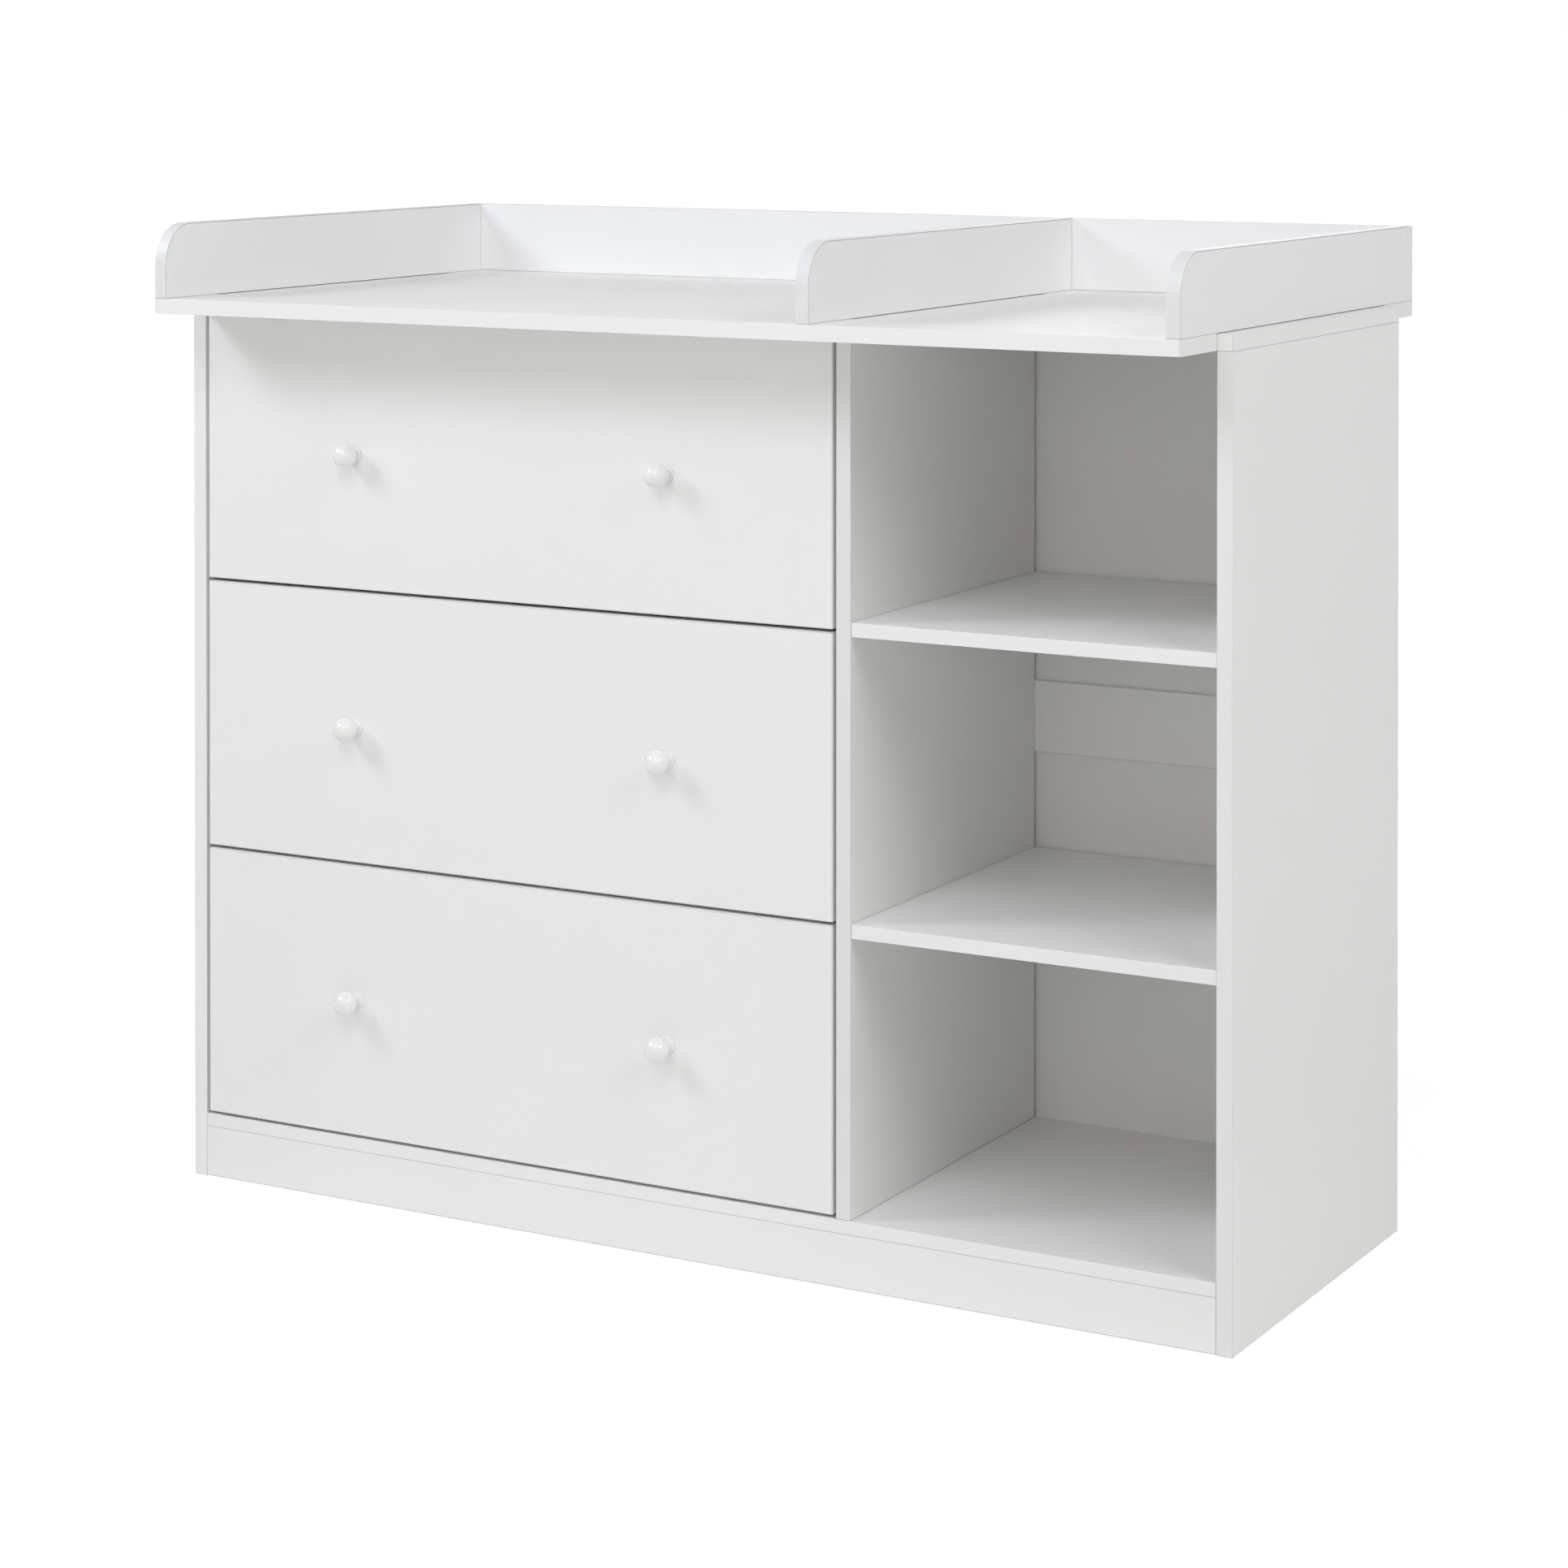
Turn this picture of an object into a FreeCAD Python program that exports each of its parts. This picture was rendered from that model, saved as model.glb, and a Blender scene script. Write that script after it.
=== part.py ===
import FreeCAD, Part
import math
import os

# Free-standing changing dresser: three drawers, an open bay with two shelves, and a
# changing attachment on top. Lengths are in mm.
# Frame: +X to the user's right, +Y to the back, +Z up. The origin is on the floor, under
# the centre of the outer box. Drawer 1 is the top drawer.

# ---- driving dimensions ----------------------------------------------------------------
width = 1200.0
side_height = 932.0
carcass_depth = 440.0
thick = 16.0                     # carcass boards, drawer fronts, the attachment's flat boards
thin = 14.0                      # bottom panel, shelves, the attachment's walls
plinth_top = 54.0
plinth_lift = 1.0                # the plinths stay off the floor
shelf_tops = (652.5, 358.0)
shelf_recess = 1.0               # shelves stand back from the carcass front by this much
inner_depth = 417.0              # partition and shelves end here, at the back rail
rail_bottom = 460.0
rail_top = 537.0

back_thickness = 3.0
back_face = 420.0                # visible face of the back panels, from the carcass front
back_groove_depth = 6.0
back_play = 1.0                  # at the sides and the top of each back panel

front_overhang = 86.0            # the attachment's front board reaches this far forwards
rear_strip_depth = 84.0
attachment_inset = 16.0          # from the sides' outer faces
attachment_lift = 0.5            # height of the pads under the attachment's walls
attachment_seam = 0.5            # between its flat boards and the top panel
wall_height = 78.5
wall_corner_radius = 42.0
pad_length = 40.0
pad_margin = 2.0                 # the pads are narrower than the walls by this at each edge

front_side_gap = 4.0
front_bottom_gap = 3.0
front_gap = 3.4                  # between two drawer fronts
front_top_gap = 4.0
drawer_count = 3
box_lift = 16.0                  # drawer box above the lower edge of its front
box_height = 200.0
box_depth = 350.0                # behind the front
box_board = 12.0
box_bottom = 3.0
box_bottom_lift = 8.0
housing_depth = 5.0              # box boards let into the front and the sides
bottom_groove_depth = 6.0
runner_space = 12.5              # between the carcass and each side of a drawer box

steel = 1.2                      # sheet of the runners
runner_length = 350.0
runner_front = 18.0              # front end of the cabinet members, behind the fronts
channel_width = 10.0
channel_gap = 18.6               # clear height of the channel
channel_mid = 0.3                # above the lower edge of the drawer box
rail_flange_height = 15.0        # top of the drawer member
rail_lip = 2.2
rail_lip_inset = 2.6             # from the carcass board to the lip's outer face
under_flange = 11.0
rolling_play = 0.3               # between a roller and what it rolls on
cabinet_roller_radius = 10.0
drawer_roller_radius = 9.0
roller_width = 5.0
roller_inset = 4.2               # from the carcass board to the roller
roller_end_distance = 14.0       # from a member's end to its roller's axis
axle_radius = 2.5
axle_play = 0.05
axle_shoulder_radius = 3.6
axle_head_radius = 4.0
axle_head = 1.0
axle_side_play = 0.2
drawer_travel = 270.0
stop_drop = 3.0                  # depth of the tab that stops the drawer's roller

knob_ball_radius = 12.5
knob_ball_centre = 17.0          # in front of the drawer front
knob_ball_bands = 6              # the ball is made up of flat facets in this many bands
knob_sides = 24
knob_ball_top = math.radians(85) # the ball ends in a small flat facet
knob_base_radius = 10.0
knob_base_height = 3.0
knob_step_radius = 7.6
knob_step_height = 4.4
knob_neck_radius = 6.2
knob_edge = 0.7
knob_bore_depth = 11.0
knob_screw_radius = 2.0
knob_screw_head_radius = 4.0
knob_screw_head = 2.4

cam_radius = 7.5
cam_distance = 34.0              # from the cam's axis to the joint
cam_beyond_middle = 4.5          # the cam reaches this far past the bolt's axis
cam_recess = 0.3
bolt_radius = 3.0
bolt_thread_length = 11.0
bolt_end = 2.0                   # the bolt's head reaches this far past the cam's middle
dowel_radius = 4.0
dowel_length = 30.0
dowel_spacing = 60.0             # from a shelf's cam to its dowel
fitting_play = 0.1
fitting_sides = 6                # small hidden fittings and their bores have flat sides
cam_sides = 8
fitting_front = 60.0             # from the carcass front to the front fittings
fitting_rear = 370.0
fitting_middle = 215.0

wood_screw_radius = 2.0
wood_screw_head_radius = 4.0
wood_screw_head = 2.2
wood_screw_length = 40.0
runner_screw_radius = 2.5
runner_screw_head_radius = 5.0
runner_screw_head = 1.6
runner_screw_length = 11.0
runner_screw_places = (75.0, 310.0)   # from the front end of a cabinet member

# ---- derived places --------------------------------------------------------------------
total_depth = front_overhang + carcass_depth + rear_strip_depth
carcass_front = -total_depth / 2 + front_overhang
carcass_back = carcass_front + carcass_depth
x_left = -width / 2
x_right = width / 2
bay_left = x_left + thick
bay_right = x_right - thick
open_bay_width = (width - 3 * thick) / 3
partition_left = bay_right - open_bay_width - thick
partition_right = partition_left + thick
partition_middle = (partition_left + partition_right) / 2
top_height = side_height + thick
floor_top = plinth_top + thin
inner_back = carcass_front + inner_depth
back_y = carcass_front + back_face

front_width = partition_left - bay_left - 2 * front_side_gap
fronts_height = side_height - floor_top - front_bottom_gap - front_top_gap
front_height = (fronts_height - (drawer_count - 1) * front_gap) / drawer_count
front_left = bay_left + front_side_gap
front_right = front_left + front_width
front_back = carcass_front + thick
box_left = bay_left + runner_space
box_right = partition_left - runner_space
box_back = front_back + box_depth

member_front = carcass_front + runner_front
cabinet_axle_y = member_front + roller_end_distance
drawer_axle_y = box_back - roller_end_distance
rail_underside = rail_flange_height - steel
cabinet_axle_height = rail_underside - rolling_play - cabinet_roller_radius

attachment_left = x_left + attachment_inset
attachment_right = x_right - attachment_inset
attachment_front = carcass_front - front_overhang
attachment_back = carcass_back + rear_strip_depth
attachment_bottom = side_height + attachment_lift
wall_bottom = attachment_bottom + thick
wall_top = wall_bottom + wall_height
rear_wall_front = attachment_back - thin
middle_wall_right = partition_right
wall_lefts = (attachment_left, middle_wall_right - thin, attachment_right - thin)

x_axis = FreeCAD.Vector(1, 0, 0)
y_axis = FreeCAD.Vector(0, 1, 0)
z_axis = FreeCAD.Vector(0, 0, 1)


# ---- shared helpers --------------------------------------------------------------------
def point(x, y, z):
    return FreeCAD.Vector(x, y, z)


def board(x0, x1, y0, y1, z0, z1):
    """A square board between two corners."""
    return Part.makeBox(x1 - x0, y1 - y0, z1 - z0, point(x0, y0, z0))


def cut_where_near(shape, tools):
    """Cut only the tools whose boxes reach the shape."""
    near = [tool for tool in tools if shape.BoundBox.intersect(tool.BoundBox)]
    return shape.cut(near) if near else shape


def ring(radius, distance, sides):
    """Corners of a flat-sided ring about +Z, the first one again at the end."""
    turns = [2 * math.pi * step / sides for step in range(sides)]
    corners = [point(radius * math.cos(turn), radius * math.sin(turn), distance)
               for turn in turns]
    return corners + corners[:1]


def fitting(outline, start, way, sides=fitting_sides):
    """A turning with flat sides: steps and tapers through (radius, distance) points."""
    rings = [ring(radius, distance, sides) for radius, distance in outline]
    outlines = [rings[0], rings[-1]]
    for near, far in zip(rings, rings[1:]):
        for side in range(sides):
            edge_near = near[side:side + 2]
            edge_far = far[side:side + 2]
            outlines.append(edge_near + edge_far[::-1] + edge_near[:1])
    faces = [Part.Face(Part.makePolygon(corners)) for corners in outlines]
    solid = Part.makeSolid(Part.makeShell(faces))
    if solid.Volume < 0:
        solid.reverse()
    solid.Placement = FreeCAD.Placement(start, FreeCAD.Rotation(z_axis, way))
    return solid


def pin(start, way, length, radius, sides=fitting_sides):
    return fitting([(radius, 0), (radius, length)], start, way, sides)


def mirrored(shape, x):
    """The shape mirrored in the plane at x."""
    return shape.mirror(point(x, 0, 0), x_axis)


def drawer_bottom_edge(number):
    """Lower edge of a drawer front; drawer 1 is at the top."""
    below = drawer_count - number
    return floor_top + front_bottom_gap + below * (front_height + front_gap)


def box_bottom_edge(number):
    return drawer_bottom_edge(number) + box_lift


# ---- joints between carcass boards -----------------------------------------------------
def cam_fitting(place, way, mouth, half):
    """Cam, bolt and bores of one joint. place is where the bolt crosses the joint, way
    points out of the board that holds the cam, and mouth is the way the cam goes in."""
    middle = place - way * cam_distance
    depth = half + cam_beyond_middle
    bore_end = middle + mouth * (half - depth)
    bolt_start = middle - way * bolt_end
    length = cam_distance + bolt_end + bolt_thread_length
    cam = pin(bore_end, mouth, depth - cam_recess, cam_radius, cam_sides)
    cam = cam.cut(pin(bolt_start, way, 2 * cam_radius, bolt_radius + fitting_play))
    bolt = pin(bolt_start, way, length, bolt_radius)
    bores = [
        pin(bore_end, mouth, depth, cam_radius + fitting_play, cam_sides),
        pin(middle, way, cam_distance + bolt_thread_length, bolt_radius + fitting_play),
    ]
    return cam, bolt, bores


def carcass_cam_places():
    """place, way, mouth and half board thickness of every cam joint."""
    left = x_axis * -1
    down = z_axis * -1
    half_thick = thick / 2
    half_thin = thin / 2
    places = []
    for y in (carcass_front + fitting_front, carcass_front + fitting_rear):
        top_left = point(x_left + half_thick, y, side_height)
        top_right = point(x_right - half_thick, y, side_height)
        places.append((top_left, z_axis, x_axis, half_thick))
        places.append((top_right, z_axis, left, half_thick))
        floor_middle = plinth_top + half_thin
        places.append((point(bay_left, y, floor_middle), left, down, half_thin))
        places.append((point(bay_right, y, floor_middle), x_axis, down, half_thin))
    y = carcass_front + fitting_middle
    places.append((point(partition_middle, y, side_height), z_axis, left, half_thick))
    places.append((point(partition_middle, y, floor_top), down, left, half_thick))
    for shelf_top in shelf_tops:
        z = shelf_top - half_thin
        places.append((point(partition_right, y, z), left, down, half_thin))
        places.append((point(bay_right, y, z), x_axis, down, half_thin))
    rail_y = inner_back + half_thick
    rail_middle = (rail_bottom + rail_top) / 2
    places.append((point(bay_left, rail_y, rail_middle), left, y_axis, half_thick))
    places.append((point(bay_right, rail_y, rail_middle), x_axis, y_axis, half_thick))
    return places


def dowel_places():
    """place, way and depth beyond the joint of every dowel."""
    left = x_axis * -1
    down = z_axis * -1
    y = carcass_front + fitting_middle
    floor_middle = plinth_top + thin / 2
    rail_middle = (rail_bottom + rail_top) / 2
    deep = 10.0
    shallow = 8.0
    places = [
        (point(x_left + thick / 2, y, side_height), z_axis, deep),
        (point(x_right - thick / 2, y, side_height), z_axis, deep),
        (point(partition_middle, y - dowel_spacing, side_height), z_axis, deep),
        (point(partition_middle, y - dowel_spacing, floor_top), down, shallow),
        (point(bay_left, y, floor_middle), left, deep),
        (point(bay_right, y, floor_middle), x_axis, deep),
        (point(partition_middle, inner_back, rail_middle), y_axis, deep),
    ]
    for shelf_top in shelf_tops:
        z = shelf_top - thin / 2
        places.append((point(partition_right, y - dowel_spacing, z), left, shallow))
        places.append((point(bay_right, y - dowel_spacing, z), x_axis, shallow))
    for plinth_y in (carcass_front + thick / 2, inner_back + thick / 2):
        for x in (-width / 4, width / 4):
            places.append((point(x, plinth_y, plinth_top), z_axis, shallow))
    for wall_left in wall_lefts:
        middle = point(wall_left + thin / 2, rear_wall_front, (wall_bottom + wall_top) / 2)
        places.append((middle, y_axis, shallow))
    return places


def dowel(place, way, beyond, radius):
    return pin(place + way * (beyond - dowel_length), way, dowel_length, radius)


def attachment_screw_places():
    """Where each screw's head lies and the way it goes in is always up."""
    places = []
    for wall_left in wall_lefts:
        x = wall_left + thin / 2
        places.append(point(x, attachment_front + front_overhang / 2, attachment_bottom))
        places.append(point(x, carcass_back + rear_strip_depth / 2, attachment_bottom))
    for x in (attachment_left + width / 4, attachment_right - width / 4):
        places.append(point(x, attachment_back - thin / 2, attachment_bottom))
    for wall_left in (wall_lefts[0], wall_lefts[2]):
        for y in (fitting_front + pad_length, fitting_rear - pad_length):
            places.append(point(wall_left + thin / 2, carcass_front + y, side_height))
    return places


def wood_screw(place, play):
    """Countersunk screw driven upwards, or its bore when play is over 0."""
    return fitting([
        (wood_screw_head_radius + play, 0),
        (wood_screw_radius + play, wood_screw_head),
        (wood_screw_radius + play, wood_screw_length),
    ], place, z_axis)


def back_panel_grooves():
    """The grooves that hold the back panels, as solids to cut."""
    y0 = back_y
    y1 = back_y + back_thickness
    left = bay_left - back_groove_depth
    right = bay_right + back_groove_depth
    low = floor_top - back_groove_depth
    high = side_height + back_groove_depth
    return [
        board(left, bay_left, y0, y1, low, side_height),
        board(bay_right, right, y0, y1, low, side_height),
        board(left, right, y0, y1, side_height, high),
        board(left, right, y0, y1, low, floor_top),
        board(left, right, y0, y1, rail_bottom, rail_bottom + back_groove_depth),
        board(left, right, y0, y1, rail_top - back_groove_depth, rail_top),
    ]


# ---- carcass ---------------------------------------------------------------------------
def side_panel(x0):
    return board(x0, x0 + thick, carcass_front, carcass_back, 0, side_height)


def centre_partition():
    return board(partition_left, partition_right, carcass_front, inner_back,
                 floor_top, side_height)


def top_panel():
    return board(x_left, x_right, carcass_front, carcass_back, side_height, top_height)


def bottom_panel():
    return board(bay_left, bay_right, carcass_front, inner_back + thick,
                 plinth_top, floor_top)


def plinth(y0):
    return board(bay_left, bay_right, y0, y0 + thick, plinth_lift, plinth_top)


def back_rail():
    return board(bay_left, bay_right, inner_back, inner_back + thick,
                 rail_bottom, rail_top)


def back_panel(lower_edge, upper_edge):
    """Stands in the groove below it, with play in the other three."""
    reach = back_groove_depth - back_play
    return board(bay_left - reach, bay_right + reach, back_y, back_y + back_thickness,
                 lower_edge - back_groove_depth, upper_edge + reach)


def shelf(top):
    return board(partition_right, bay_right, carcass_front + shelf_recess, inner_back,
                 top - thin, top)


# ---- changing attachment ---------------------------------------------------------------
def changing_front_board():
    return board(attachment_left, attachment_right, attachment_front,
                 carcass_front - attachment_seam, attachment_bottom, wall_bottom)


def changing_rear_strip():
    return board(attachment_left, attachment_right, carcass_back + attachment_seam,
                 attachment_back, attachment_bottom, wall_bottom)


def changing_wall(x0):
    """A wall from front to back with its front upper corner rounded."""
    front = attachment_front
    radius = wall_corner_radius
    lean = radius * (1 - math.sqrt(0.5))
    lower_front = point(x0, front, wall_bottom)
    arc_start = point(x0, front, wall_top - radius)
    arc_middle = point(x0, front + lean, wall_top - lean)
    arc_end = point(x0, front + radius, wall_top)
    upper_back = point(x0, rear_wall_front, wall_top)
    lower_back = point(x0, rear_wall_front, wall_bottom)
    outline = Part.Wire([
        Part.makeLine(lower_front, arc_start),
        Part.Arc(arc_start, arc_middle, arc_end).toShape(),
        Part.makeLine(arc_end, upper_back),
        Part.makeLine(upper_back, lower_back),
        Part.makeLine(lower_back, lower_front),
    ])
    return Part.Face(outline).extrude(x_axis * thin)


def changing_wall_rear():
    return board(attachment_left, attachment_right, rear_wall_front, attachment_back,
                 wall_bottom, wall_top)


def changing_pads():
    """Two thin pads between each wall and the top panel."""
    pads = []
    for wall_left in wall_lefts:
        for y in (fitting_front, fitting_rear):
            y0 = carcass_front + y - pad_length / 2
            pads.append(board(wall_left + pad_margin, wall_left + thin - pad_margin,
                              y0, y0 + pad_length, top_height, wall_bottom))
    return pads


# ---- drawers ---------------------------------------------------------------------------
def drawer_front(number):
    """Front with housings for the box sides and a groove for the bottom."""
    z0 = drawer_bottom_edge(number)
    box_z = box_bottom_edge(number)
    front = board(front_left, front_right, carcass_front, front_back, z0, z0 + front_height)
    housing_front = front_back - housing_depth
    box_top = box_z + box_height
    cuts = [
        board(box_left, box_left + box_board, housing_front, front_back, box_z, box_top),
        board(box_right - box_board, box_right, housing_front, front_back, box_z, box_top),
        drawer_bottom(number),
    ]
    bores = [pin(point(x, carcass_front, z), y_axis, thick, knob_screw_radius + fitting_play)
             for x, z in knob_places(number)]
    return front.cut(cuts + bores)


def drawer_bottom(number):
    """Thin bottom, grooved into the front and the sides; the back stands on it."""
    z0 = box_bottom_edge(number) + box_bottom_lift
    left = box_left + box_board - bottom_groove_depth
    right = box_right - box_board + bottom_groove_depth
    return board(left, right, front_back - bottom_groove_depth, box_back,
                 z0, z0 + box_bottom)


def drawer_side(number, x0):
    z0 = box_bottom_edge(number)
    side = board(x0, x0 + box_board, front_back - housing_depth, box_back,
                 z0, z0 + box_height)
    return side.cut([drawer_bottom(number), drawer_back(number)])


def drawer_back(number):
    """Back let into the sides, standing on the bottom."""
    z0 = box_bottom_edge(number)
    left = box_left + box_board - housing_depth
    right = box_right - box_board + housing_depth
    return board(left, right, box_back - 2 * box_board, box_back - box_board,
                 z0 + box_bottom_lift + box_bottom, z0 + box_height)


def knob_places(number):
    """x and z of the two knobs, at the quarter points of the front."""
    z = drawer_bottom_edge(number) + front_height / 2
    return [(front_left + front_width * share, z) for share in (0.25, 0.75)]


def knob(x, z):
    """Ball on a stepped foot, turned about an axis towards the user."""
    lowest = -math.acos(knob_neck_radius / knob_ball_radius)
    outline = [
        (knob_base_radius, 0),
        (knob_base_radius, knob_base_height - knob_edge),
        (knob_step_radius, knob_base_height),
        (knob_step_radius, knob_step_height),
    ]
    for band in range(knob_ball_bands + 1):
        rise = lowest + (knob_ball_top - lowest) * band / knob_ball_bands
        radius = knob_ball_radius * math.cos(rise)
        outline.append((radius, knob_ball_centre + knob_ball_radius * math.sin(rise)))
    bore = pin(point(x, carcass_front, z), y_axis * -1, knob_bore_depth,
               knob_screw_radius + fitting_play)
    return fitting(outline, point(x, carcass_front, z), y_axis * -1, knob_sides).cut(bore)


def knob_screw(x, z):
    """Screw from inside the drawer, with its head on the back of the front."""
    return fitting([
        (knob_screw_head_radius, -knob_screw_head),
        (knob_screw_head_radius, 0),
        (knob_screw_radius, 0),
        (knob_screw_radius, thick + knob_bore_depth),
    ], point(x, front_back, z), y_axis * -1)


# ---- roller runners --------------------------------------------------------------------
# Profiles are drawn for the left side: u runs from the carcass board towards the drawer
# and v upwards from the lower edge of the drawer box.
def left_profile(corners, number, y0, length):
    """A sheet-steel section run from y0 towards the back."""
    z0 = box_bottom_edge(number)
    outline = [point(bay_left + u, y0, z0 + v) for u, v in corners]
    face = Part.Face(Part.makePolygon(outline + [outline[0]]))
    return face.extrude(y_axis * length)


def left_axle(number, y, height, web, end):
    """Riveted axle from the web to its head: shoulder, shaft and head along u."""
    z = box_bottom_edge(number) + height
    way = x_axis if end > web else x_axis * -1
    near = roller_inset if end > web else roller_inset + roller_width
    shoulder = abs(near - web) - axle_side_play
    shaft = abs(end - web)
    return fitting([
        (axle_shoulder_radius, 0),
        (axle_shoulder_radius, shoulder),
        (axle_radius, shoulder),
        (axle_radius, shaft - axle_head),
        (axle_head_radius, shaft - axle_head),
        (axle_head_radius, shaft),
    ], point(bay_left + web, y, z), way)


def cabinet_member_left(number):
    """C channel on the carcass board, cut back at the front for its roller."""
    low = channel_mid - channel_gap / 2
    high = channel_mid + channel_gap / 2
    channel = left_profile([
        (0, low - steel), (channel_width, low - steel), (channel_width, low),
        (steel, low), (steel, high), (channel_width, high),
        (channel_width, high + steel), (0, high + steel),
    ], number, member_front, runner_length)
    opening_length = roller_end_distance + cabinet_roller_radius + rail_lip
    opening = left_profile([
        (steel, high - steel), (runner_space, high - steel),
        (runner_space, high + 2 * steel), (steel, high + 2 * steel),
    ], number, member_front, opening_length)
    end_tab = left_profile([
        (0, low), (channel_width, low), (channel_width, high), (0, high),
    ], number, member_front + runner_length - steel, steel)
    drop = channel_gap / 2 - stop_drop
    reach = math.sqrt(drawer_roller_radius ** 2 - drop ** 2)
    stop_back = drawer_axle_y - drawer_travel - reach - stop_drop
    stop_tab = left_profile([
        (steel, high - stop_drop), (channel_width, high - stop_drop),
        (channel_width, high), (steel, high),
    ], number, stop_back - steel, steel)
    axle_end = roller_inset + roller_width + axle_side_play + axle_head
    axle = left_axle(number, cabinet_axle_y, cabinet_axle_height, steel, axle_end)
    member = channel.cut(opening).fuse([end_tab, stop_tab, axle])
    holes = [runner_screw(number, place, 0, fitting_play) for place in runner_screw_places]
    return member.cut(holes).removeSplitter()


def runner_screw(number, place, head, play):
    """Pan-head screw through the left cabinet member into the board, or its bore."""
    z = box_bottom_edge(number) + channel_mid
    outline = [
        (runner_screw_head_radius, -head),
        (runner_screw_head_radius, 0),
        (runner_screw_radius + play, 0),
        (runner_screw_radius + play, runner_screw_length),
    ]
    start = point(bay_left + steel, member_front + place, z)
    return fitting(outline, start, x_axis * -1)


def drawer_member_left(number):
    """Z section: flange under the box side, web beside it, rail with a lip on top."""
    web = runner_space - steel
    top = rail_flange_height
    member = left_profile([
        (web, -steel), (web + under_flange, -steel), (web + under_flange, 0),
        (runner_space, 0), (runner_space, top), (rail_lip_inset, top),
        (rail_lip_inset, rail_underside - rail_lip),
        (rail_lip_inset + steel, rail_underside - rail_lip),
        (rail_lip_inset + steel, rail_underside), (web, rail_underside),
    ], number, front_back, box_depth)
    ear_reach = axle_head_radius + steel
    ear = left_profile([
        (web, channel_mid - ear_reach), (runner_space, channel_mid - ear_reach),
        (runner_space, 0), (web, 0),
    ], number, drawer_axle_y - ear_reach, 2 * ear_reach)
    axle_end = roller_inset - axle_side_play - axle_head
    axle = left_axle(number, drawer_axle_y, channel_mid, web, axle_end)
    return member.fuse([ear, axle]).removeSplitter()


def roller_left(number, y, height, radius):
    """Plastic roller, free on its axle: the flats of its bore clear the axle's corners."""
    z = box_bottom_edge(number) + height
    start = point(bay_left + roller_inset, y, z)
    bore_radius = (axle_radius + axle_play) / math.cos(math.pi / fitting_sides)
    rim = Part.makeCylinder(radius, roller_width, start, x_axis)
    return rim.cut(pin(start, x_axis, roller_width, bore_radius))


def with_right_twin(shape):
    """The left piece and its mirror image on the partition's side of the drawer."""
    return [shape, mirrored(shape, (bay_left + partition_left) / 2)]


# ---- all nodes -------------------------------------------------------------------------
def carcass_nodes():
    nodes = {
        "side_panel_left": side_panel(x_left),
        "side_panel_right": side_panel(x_right - thick),
        "centre_partition": centre_partition(),
        "top_panel": top_panel(),
        "bottom_panel": bottom_panel(),
        "plinth_front": plinth(carcass_front),
        "plinth_rear": plinth(inner_back),
        "back_rail": back_rail(),
        "shelf_upper": shelf(shelf_tops[0]),
        "shelf_lower": shelf(shelf_tops[1]),
        "changing_front_board": changing_front_board(),
        "changing_rear_strip": changing_rear_strip(),
        "changing_wall_rear": changing_wall_rear(),
    }
    for name, wall_left in zip(("left", "middle", "right"), wall_lefts):
        nodes["changing_wall_" + name] = changing_wall(wall_left)
    return nodes


def fitted_nodes():
    """Carcass and attachment boards with their bores, and the fittings in them."""
    cams = []
    bolts = []
    bores = back_panel_grooves()
    for place, way, mouth, half in carcass_cam_places():
        cam, bolt, cam_bores = cam_fitting(place, way, mouth, half)
        cams.append(cam)
        bolts.append(bolt)
        bores.extend(cam_bores)
    dowels = [dowel(*place, dowel_radius) for place in dowel_places()]
    bores.extend(dowel(*place, dowel_radius + fitting_play) for place in dowel_places())
    screws = [wood_screw(place, 0) for place in attachment_screw_places()]
    bores.extend(wood_screw(place, fitting_play) for place in attachment_screw_places())
    runner_screws = []
    for number in range(1, drawer_count + 1):
        for place in runner_screw_places:
            screw = runner_screw(number, place, runner_screw_head, 0)
            runner_screws.extend(with_right_twin(screw))
            hole = runner_screw(number, place, 0, fitting_play)
            bores.extend(with_right_twin(hole))
    nodes = {name: cut_where_near(shape, bores) for name, shape in carcass_nodes().items()}
    nodes["back_panel_lower"] = back_panel(floor_top, rail_bottom)
    nodes["back_panel_upper"] = back_panel(rail_top, side_height)
    nodes["changing_pads"] = Part.makeCompound(changing_pads())
    nodes["changing_screws"] = Part.makeCompound(screws)
    nodes["cam_locks"] = Part.makeCompound(cams)
    nodes["cam_bolts"] = Part.makeCompound(bolts)
    nodes["wooden_dowels"] = Part.makeCompound(dowels)
    nodes["runner_screws"] = Part.makeCompound(runner_screws)
    return nodes


def cabinet_member_nodes():
    """Three identical left-hand members in one node, three right-hand ones in another."""
    numbers = range(1, drawer_count + 1)
    pairs = [with_right_twin(cabinet_member_left(number)) for number in numbers]
    return {
        "cabinet_runners_left": Part.makeCompound([pair[0] for pair in pairs]),
        "cabinet_runners_right": Part.makeCompound([pair[1] for pair in pairs]),
    }


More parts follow.
